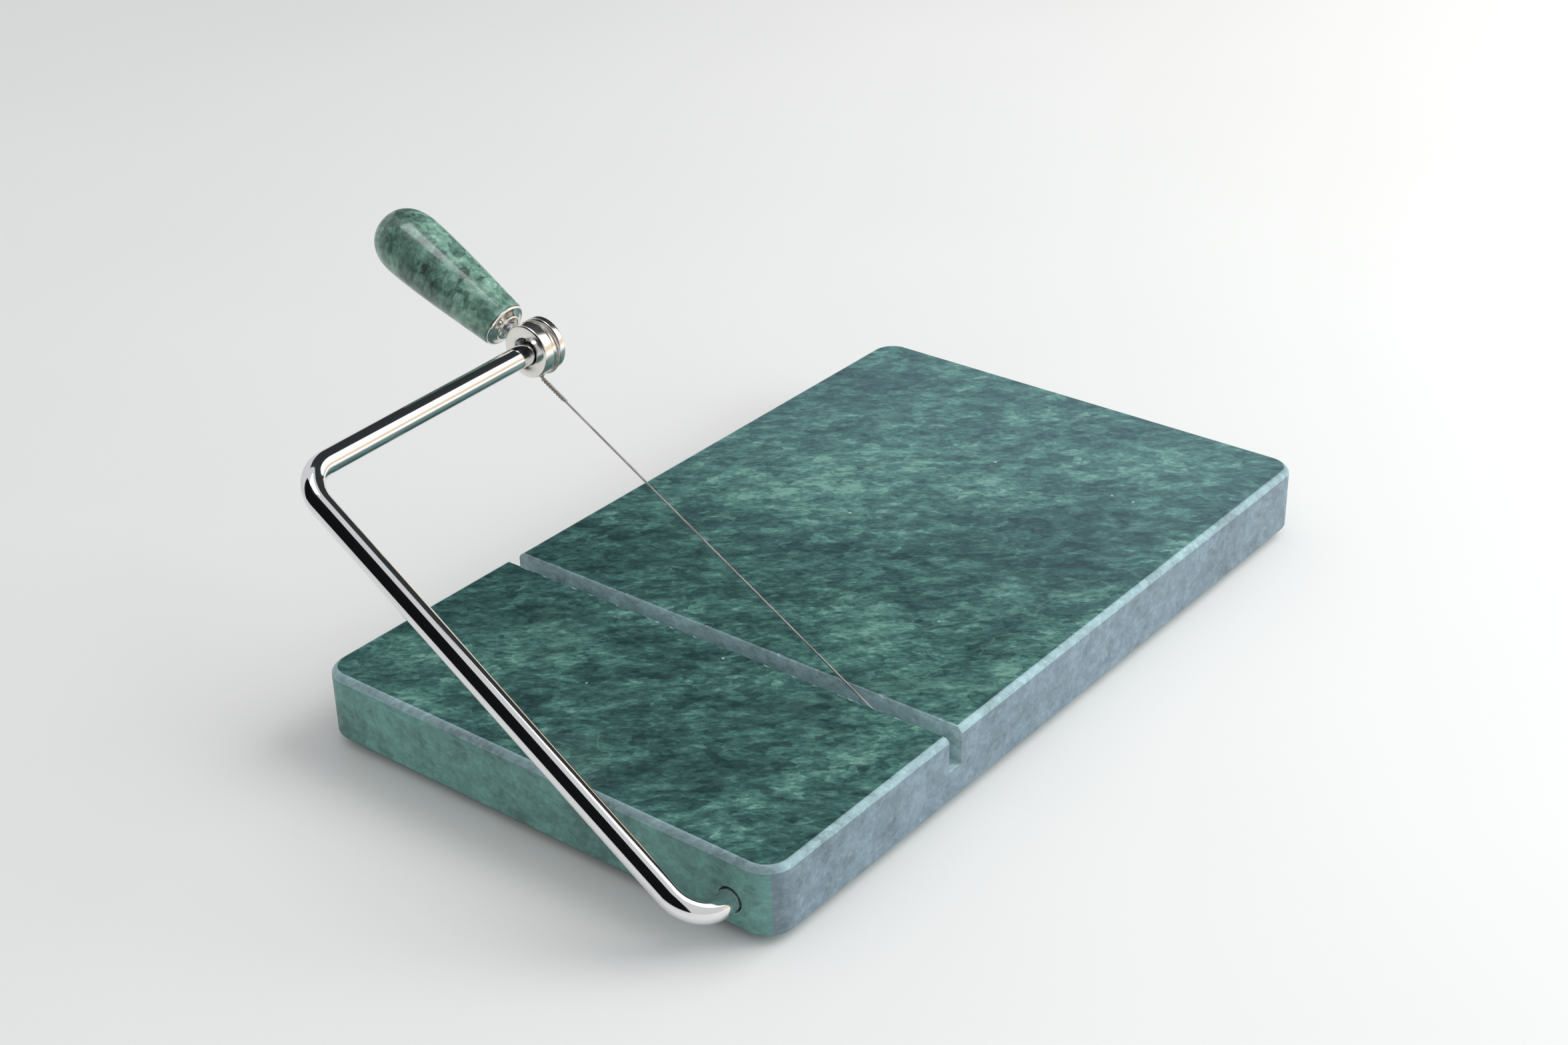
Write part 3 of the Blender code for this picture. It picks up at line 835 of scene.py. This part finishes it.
def build_drum():
    """A turned barrel with rounded rims, a groove for the wire and a tapped hole for the stud."""
    bore_ease = 0.2 * MM
    corners = [
        (DRUM_HOLE_R, DRUM_LEN, 0),
        (DRUM_R, DRUM_LEN, DRUM_RIM),
        (DRUM_R, GROOVE_MOUTH[1], MOUTH_FILLET),
        (GROOVE_R, GROOVE_FLOOR[1], GROOVE_FILLET),
        (GROOVE_R, GROOVE_FLOOR[0], GROOVE_FILLET),
        (DRUM_R, GROOVE_MOUTH[0], MOUTH_FILLET),
        (DRUM_R, 0, DRUM_RIM),
        (DRUM_HOLE_R + bore_ease, 0, 0),
        (DRUM_HOLE_R, bore_ease, 0),
        (DRUM_HOLE_R, DRUM_LEN, 0),
    ]
    matrix = BOW @ Matrix.Translation((DRUM_FACE_X, DRUM_OUT, 0))
    matrix = matrix @ Matrix.Rotation(RIGHT_ANGLE, 4, "Y")
    drum = turned("wire_drum", filleted(corners, 6), matrix, 160, 50)
    outside = 10 * MM
    inside = DRUM_HOLE_R - 0.8 * MM
    profile = [(0, outside), (STUD_HOLE_R, outside), (STUD_HOLE_R, inside), (0, inside)]
    hole = turned("stud_hole_cutter", profile, handle_frame(), 48)
    drum = smooth(cut(drum, hole), 50)
    chrome = plated("chrome_drum", (0.88, 0.855, 0.82), (0.18, 0.27), (0.94, 0.89, 0.80))
    dress(drum, "drum", "drum_chrome", chrome, "tension_drum")


def handle_frame():
    """Where the handle's axis starts, with Z along the stud."""
    lean = Matrix.Rotation(HANDLE_TILT - RIGHT_ANGLE, 4, "X")
    return BOW @ Matrix.Translation(GRIP_IN_BOW) @ lean


def build_stud():
    """A right-hand V thread that fades out into the plain length inside the handle."""
    around = 64
    per_pitch = 14
    tip_chamfer = 0.35 * MM
    end_length = 0.4 * MM
    end_chamfer = 0.3 * MM
    height = STUD_PITCH / per_pitch
    rows = int((STUD_THREAD_END - STUD_START) / height)
    bm = bmesh.new()
    rings = []

    def ring(z, radius_at):
        made = []
        for k in range(around):
            angle = 2 * math.pi * k / around
            r = radius_at(k / around)
            made.append(bm.verts.new((r * math.cos(angle), r * math.sin(angle), z)))
        rings.append(made)

    for i in range(rows + 1):
        z = STUD_START + i * height
        fade = min(1.0, i / per_pitch, (rows - i) / per_pitch)
        lead = tip_chamfer * max(0.0, 1 - i / (per_pitch * 0.6))

        def radius_at(share, z=z, fade=fade, lead=lead):
            phase = (z / STUD_PITCH - share) % 1.0
            tooth = min(1.0, (0.5 - abs(phase - 0.5)) / 0.44)
            tooth = tooth * tooth * (3 - 2 * tooth) * 0.35 + tooth * 0.65
            return STUD_ROOT_R - lead + (STUD_R - STUD_ROOT_R) * tooth * fade

        ring(z, radius_at)
    ring(STUD_END - end_length, lambda share: STUD_ROOT_R)
    ring(STUD_END, lambda share: STUD_ROOT_R - end_chamfer)
    for low, high in zip(rings, rings[1:]):
        for k in range(around):
            n = (k + 1) % around
            bm.faces.new((low[k], low[n], high[n], high[k]))
    bm.faces.new(list(reversed(rings[0])))
    bm.faces.new(rings[-1])
    stud = smooth(from_bmesh("threaded_stud", bm, handle_frame()), 50)
    zinc = bare_metal("zinc_stud", (0.80, 0.83, 0.87), (0.28, 0.44))
    dress(stud, "handle", "stud_zinc", zinc, "tension_stud")


def build_ferrule():
    """A stepped cap: a flared rim against the marble, a cone and a neck round the stud."""
    end = FERRULE_END
    neck_end = FERRULE_START + 0.1 * MM
    inner = STUD_R + 0.15 * MM
    fillet = 0.2 * MM
    small_fillet = 0.12 * MM
    corners = [
        (inner, end, 0),
        (FERRULE_SEAT_R, end, small_fillet),
        (FERRULE_RIM_R, end - 0.26 * MM, 0.26 * MM),
        (FERRULE_SHOULDER_R, end - 0.6 * MM, fillet),
        (FERRULE_STEP_R, end - 0.68 * MM, 0.18 * MM),
        (3.5 * MM, end - 1.1 * MM, fillet),
        (3.2 * MM, end - 1.2 * MM, small_fillet),
        (FERRULE_NECK_R, neck_end, fillet),
        (FERRULE_MOUTH_R, FERRULE_START, fillet),
        (inner, neck_end, 0),
        (inner, end, 0),
    ]
    cap = turned("ferrule_cap", filleted(corners, 6), handle_frame(), 128, 45)
    chrome = plated("chrome_ferrule", (0.90, 0.86, 0.79), (0.17, 0.27), (0.94, 0.86, 0.74))
    dress(cap, "handle", "ferrule_chrome", chrome, "handle_ferrule")


def handle_outline():
    """The grip's outer side: a blunt rounded end, then a taper that starts out almost level."""
    end_steps = 40
    taper_steps = 32
    points = []
    power = 2 / HANDLE_BLUNTNESS
    length = HANDLE_END - HANDLE_FULL_AT
    for i in range(end_steps):
        turn = RIGHT_ANGLE * (1 - i / end_steps)
        r = HANDLE_FULL_R * abs(math.cos(turn)) ** power if i else 0
        points.append((r, HANDLE_FULL_AT + length * math.sin(turn) ** power))
    for i in range(taper_steps + 1):
        share = 1 - i / taper_steps
        swell = 1.25 * share - 0.25 * share ** 4
        r = HANDLE_SLIM_R + (HANDLE_FULL_R - HANDLE_SLIM_R) * swell
        points.append((r, HANDLE_SLIM_AT + (HANDLE_FULL_AT - HANDLE_SLIM_AT) * share))
    return points


def build_handle():
    """The polished marble grip, full at its rounded end and slim at the ferrule."""
    profile = handle_outline()
    profile += [
        *HANDLE_EDGE,
        (HANDLE_SEAT_R, HANDLE_START),
        (HANDLE_BORE_R, HANDLE_START),
        (HANDLE_BORE_R, HANDLE_BORE_END),
        (0, HANDLE_BORE_END),
    ]
    grip = turned("marble_grip", profile, handle_frame(), 128, 45)
    finish = stone("marble_grip_stone", polished(GRIP_COLOURS), (0.11, 0.18), 0.9, 0.7, GRIP_GRAIN)
    dress(grip, "handle", "handle_marble", finish, "marble_handle")


def dress_insert():
    """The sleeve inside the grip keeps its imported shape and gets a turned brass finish."""
    brass = bare_metal("turned_brass", (0.70, 0.52, 0.25), (0.22, 0.38))
    sleeve = frame["nodes"]["handle_insert"]
    sleeve.data.materials.clear()
    sleeve.data.materials.append(brass)


# ---------------------------------------------------------------- studio

MIDDLE = (0, 0, 0.03)
FLOOR_REACH = 9.0
FLOOR_SHADES = (0.3, (0.745, 0.755, 0.75)), (0.7, (0.775, 0.782, 0.778))
SKY_COLOUR = (0.98, 0.985, 0.99, 1.0)
SKY_STRENGTH = 0.68

# Lights: name, place, size, colour, power. They face the middle of the board.
LIGHTS = (
    ("key", (0.72, -0.52, 0.74), (1.0, 0.9), (1.0, 0.985, 0.96), 10.5),
    ("fill", (0.42, -0.95, 0.36), (0.8, 0.5), (0.88, 0.95, 1.0), 4),
)

# Cards for the reflections: name, place, what it faces, size, colour, strength
CARDS = (
    ("left_flag", (-0.36, 0.0, 0.36), (-0.11, 0, 0.3), (1.1, 0.72), (0.006, 0.007, 0.008), 1.0),
    ("back_flag", (0.62, 0.34, 0.60), (-0.1, 0.05, 0.08), (1.34, 1.3), (0.03, 0.036, 0.04), 1.0),
    ("overhead", (-0.20, 0.14, 0.95), (-0.06, 0.09, 0.08), (0.34, 0.50), (0.96, 0.98, 1.0), 5.5),
    ("white_card", (0.74, -0.47, 0.66), MIDDLE, (1.05, 1.0), (1.0, 1.0, 1.0), 1.35),
    ("warm_low", (0.64, -0.68, 0.13), MIDDLE, (0.9, 0.34), (1.0, 0.80, 0.58), 0.95),
    ("warm_side", (0.92, 0.20, 0.08), MIDDLE, (0.5, 0.16), (1.0, 0.74, 0.46), 0.9),
)

CAMERA_PLACE = Vector((-0.3932, -0.3000, 0.2983))
CAMERA_TARGET = Vector((0.0059, 0.0214, 0.017))
CAMERA_ROLL = math.radians(-1.4)
LENS = 56.15
SENSOR = 36.0


def glow(name, colour, strength):
    """A material that gives this light and nothing else."""
    mat = bpy.data.materials.new(name)
    mat.use_nodes = True
    tree = mat.node_tree
    tree.nodes.clear()
    emission = tree.nodes.new("ShaderNodeEmission")
    emission.inputs["Color"].default_value = (*colour, 1.0)
    emission.inputs["Strength"].default_value = strength
    output = tree.nodes.new("ShaderNodeOutputMaterial")
    tree.links.new(emission.outputs[0], output.inputs["Surface"])
    return mat


def towards(place, target):
    """The turn that points a light, card or camera at its target."""
    return (Vector(target) - Vector(place)).to_track_quat("-Z", "Y").to_matrix().to_4x4()


def card(name, place, target, size, colour, strength):
    """A flat card that only shows in reflections."""
    mesh = bpy.data.meshes.new(name)
    w, h = size[0] / 2, size[1] / 2
    mesh.from_pydata([(-w, -h, 0), (w, -h, 0), (w, h, 0), (-w, h, 0)], [], [(0, 1, 2, 3)])
    obj = link(bpy.data.objects.new(name, mesh), Matrix.Translation(place) @ towards(place, target))
    mesh.materials.append(glow(name, colour, strength))
    obj.visible_camera = False
    obj.visible_diffuse = False
    obj.visible_shadow = False
    obj.visible_transmission = False


def softbox(name, place, size, colour, power):
    """A soft light that doesn't show in reflections."""
    data = bpy.data.lights.new(name, "AREA")
    data.shape = "RECTANGLE"
    data.size, data.size_y = size
    data.energy = power
    data.color = colour
    lamp = bpy.data.objects.new(name, data)
    link(lamp, Matrix.Translation(place) @ towards(place, MIDDLE))
    lamp.visible_glossy = False


def build_studio():
    floor = bpy.data.meshes.new("floor")
    far = FLOOR_REACH
    corners = [(-far, -far), (far, -far), (far, far), (-far, far)]
    floor.from_pydata([(x, y, FOOT_LOW.z) for x, y in corners], [], [(0, 1, 2, 3)])
    table = link(bpy.data.objects.new("floor", floor))
    paint = Paint("pale_table")
    shade = paint.ramp(paint.noise(3, 3), FLOOR_SHADES)
    floor.materials.append(paint.done(Base_Color=shade, Roughness=0.6))

    world = bpy.data.worlds.new("studio")
    world.use_nodes = True
    sky = world.node_tree.nodes["Background"]
    sky.inputs["Color"].default_value = SKY_COLOUR
    sky.inputs["Strength"].default_value = SKY_STRENGTH
    bpy.context.scene.world = world

    for light in LIGHTS:
        softbox(*light)
    for row in CARDS:
        card(*row)


def build_camera():
    data = bpy.data.cameras.new("camera")
    data.lens = LENS
    data.sensor_width = SENSOR
    data.clip_start = 0.01
    aim = towards(CAMERA_PLACE, CAMERA_TARGET) @ Matrix.Rotation(CAMERA_ROLL, 4, "Z")
    camera = bpy.data.objects.new("camera", data)
    link(camera, Matrix.Translation(CAMERA_PLACE) @ aim)
    bpy.context.scene.camera = camera


bpy.context.scene.view_settings.view_transform = "Standard"
build_board()
build_feet()
build_rod()
build_wire()
build_drum()
build_stud()
build_ferrule()
build_handle()
dress_insert()
build_studio()
build_camera()
